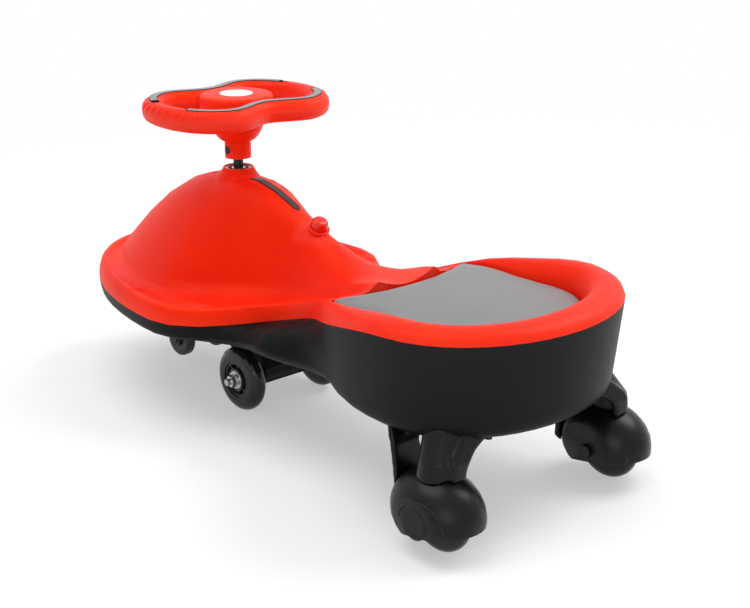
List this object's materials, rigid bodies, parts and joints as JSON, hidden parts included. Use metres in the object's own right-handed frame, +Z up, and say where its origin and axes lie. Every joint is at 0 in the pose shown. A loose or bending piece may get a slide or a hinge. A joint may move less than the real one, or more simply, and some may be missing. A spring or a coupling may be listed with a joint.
{
  "type": "wiggle car",
  "caption": "Ride-on wiggle car: hump-nosed body with a padded seat, driven by swinging a steering wheel whose shaft turns a trailing pair of front wheels.",
  "frame": {"origin": "on the ground below the middle of the car's length and width", "axes": "+X forward along the car, +Y to the rider's left, +Z up"},
  "size_m": [0.777, 0.336, 0.3705],
  "materials": {
    "red_plastic": "satin",
    "black_plastic": "matte",
    "grey_pad": "matte",
    "grey_strip": "satin",
    "dark_strip": "matte",
    "white_badge": "gloss",
    "button_red": "gloss",
    "steel": "satin",
    "black_steel": "satin",
    "nylon": "satin",
    "tyre_pu": "satin",
    "wheel_core": "satin",
    "seal": "matte"
  },
  "bodies": {
    "car_body": {"lower_shell": "black_plastic", "upper_shell": "red_plastic", "seat_pad": "grey_pad", "ridge_strip": "dark_strip", "shell_screws": "steel", "column_bearing_outer": "steel", "column_bearing_balls": "steel", "column_bearing_seals": "seal", "column_bush": "nylon", "rear_leg_left": "black_plastic", "rear_fender_left": "black_plastic", "fender_cap_left": "black_plastic", "rear_axle_left": "steel", "rear_nut_left": "steel", "rear_leg_right": "black_plastic", "rear_fender_right": "black_plastic", "fender_cap_right": "black_plastic", "rear_axle_right": "steel", "rear_nut_right": "steel", "rear_sleeves": "steel", "leg_screws": "steel", "safety_bracket_left": "black_plastic", "safety_pin_left": "steel", "safety_bracket_right": "black_plastic", "safety_pin_right": "steel", "button_spring": "steel", "button_guide": "button_red"},
    "steering": {"column_bearing_inner": "steel", "thrust_washer": "steel", "steering_shaft": "black_steel", "axle_carrier": "black_plastic", "front_axle": "steel", "front_axle_nuts": "steel", "front_axle_spacers": "steel", "front_sleeves": "steel", "rim_top": "red_plastic", "rim_base": "red_plastic", "grip_strips": "grey_strip", "hub_badge": "white_badge", "collar_bolt": "steel", "collar_nut": "steel", "rim_screws": "steel"},
    "push_button": {"push_button": "button_red"},
    "front_wheel_left": {"front_tyre_left": "tyre_pu", "front_core_left": "wheel_core", "front_bearings_left": "steel"},
    "front_wheel_right": {"front_tyre_right": "tyre_pu", "front_core_right": "wheel_core", "front_bearings_right": "steel"},
    "rear_wheel_left": {"rear_tyre_left": "tyre_pu", "rear_core_left": "wheel_core", "rear_bearings_left": "steel"},
    "rear_wheel_right": {"rear_tyre_right": "tyre_pu", "rear_core_right": "wheel_core", "rear_bearings_right": "steel"},
    "safety_wheel_left": {"safety_wheel_left": "black_plastic"},
    "safety_wheel_right": {"safety_wheel_right": "black_plastic"}
  },
  "joints": [
    {"name": "steering_turn", "type": "hinge", "parent": "car_body", "child": "steering", "pos_m": [0.1655, 0, 0.2], "axis": [0, 0, 1], "range_deg": [-90, 90]},
    {"name": "front_wheel_left_spin", "type": "hinge", "parent": "steering", "child": "front_wheel_left", "pos_m": [0.0895, 0.06, 0.04], "axis": [0, 1, 0], "continuous": true},
    {"name": "front_wheel_right_spin", "type": "hinge", "parent": "steering", "child": "front_wheel_right", "pos_m": [0.0895, -0.06, 0.04], "axis": [0, 1, 0], "continuous": true},
    {"name": "rear_wheel_left_spin", "type": "hinge", "parent": "car_body", "child": "rear_wheel_left", "pos_m": [-0.3275, 0.128, 0.04], "axis": [0, 1, 0], "continuous": true},
    {"name": "rear_wheel_right_spin", "type": "hinge", "parent": "car_body", "child": "rear_wheel_right", "pos_m": [-0.3275, -0.128, 0.04], "axis": [0, 1, 0], "continuous": true},
    {"name": "safety_wheel_left_spin", "type": "hinge", "parent": "car_body", "child": "safety_wheel_left", "pos_m": [0.2655, 0.027, 0.035], "axis": [0, 1, 0], "continuous": true},
    {"name": "safety_wheel_right_spin", "type": "hinge", "parent": "car_body", "child": "safety_wheel_right", "pos_m": [0.2655, -0.027, 0.035], "axis": [0, 1, 0], "continuous": true},
    {"name": "button_press", "type": "slide", "parent": "car_body", "child": "push_button", "axis": [0.4112, 0, -0.9116], "range_m": [0, 0.004], "stiffness_N_per_m": 600, "springref_m": -0.002}
  ]
}
